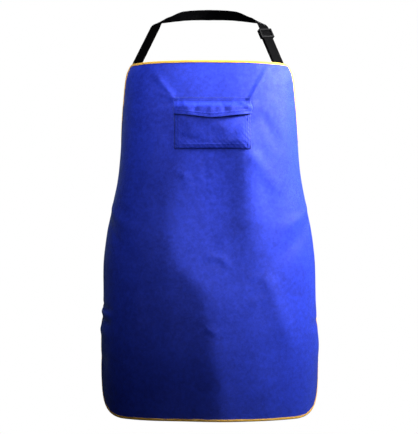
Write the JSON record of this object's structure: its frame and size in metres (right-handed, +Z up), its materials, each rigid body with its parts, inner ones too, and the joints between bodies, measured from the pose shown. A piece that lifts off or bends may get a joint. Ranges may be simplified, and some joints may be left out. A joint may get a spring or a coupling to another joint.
{
  "type": "welding apron",
  "caption": "Bib apron of flame-resistant cotton in its worn shape, with bound edges, a flapped chest pocket, an adjustable neck strap and a waist strap with a side-release buckle.",
  "frame": {"origin": "middle of the neck loop, level with the strap on the wearer's nape", "axes": "+Z up, +Y from the chest to the wearer's back, +X to the right of someone who faces the wearer"},
  "size_m": [0.476, 0.2694, 0.8975],
  "materials": {
    "blue_cotton": "matte brushed flame-resistant cotton, royal blue",
    "yellow_tape": "woven cotton binding tape, golden yellow",
    "thread": "spun sewing thread",
    "closure_tape": "hook and loop tape",
    "label_cloth": "plain woven label, blank",
    "black_webbing": "ribbed polypropylene webbing",
    "black_plastic": "moulded acetal, satin",
    "steel_wire": "bent steel wire, dull plated"
  },
  "bodies": {
    "apron": {"main_panel": "blue_cotton", "pocket_panel": "blue_cotton", "flap_seam": "blue_cotton", "binding_hem": "yellow_tape", "binding_left": "yellow_tape", "binding_right": "yellow_tape", "binding_top": "yellow_tape", "pocket_tacks": "thread", "hook_tape": "closure_tape", "inner_label": "label_cloth", "neck_strap": "black_webbing", "neck_strap_return": "black_webbing", "ring_tab": "black_webbing", "waist_strap_left": "black_webbing", "waist_strap_right": "black_webbing", "buckle_socket": "black_plastic", "corner_ring": "steel_wire"},
    "flap": {"pocket_flap": "blue_cotton", "loop_tape": "closure_tape"},
    "slider": {"neck_slider": "black_plastic"},
    "plug": {"buckle_plug": "black_plastic"},
    "keeper": {"tail_keeper": "black_plastic"}
  },
  "joints": [
    {"name": "flap_fold", "type": "hinge", "parent": "apron", "child": "flap", "pos_m": [0.006, -0.13355, -0.212], "axis": [-1, 0, 0], "range_deg": [0, 150]},
    {"name": "slider_adjust", "type": "slide", "parent": "apron", "child": "slider", "axis": [-0.337, 0.3539, 0.8725], "range_m": [-0.045, 0], "deforming": ["neck_strap_return"]},
    {"name": "buckle_release", "type": "slide", "parent": "apron", "child": "plug", "axis": [-1, 0, 0], "range_m": [0, 0.03], "deforming": ["waist_strap_left"]},
    {"name": "keeper_slide", "type": "slide", "parent": "apron", "child": "keeper", "axis": [1, 0, 0], "range_m": [-0.022, 0]}
  ]
}
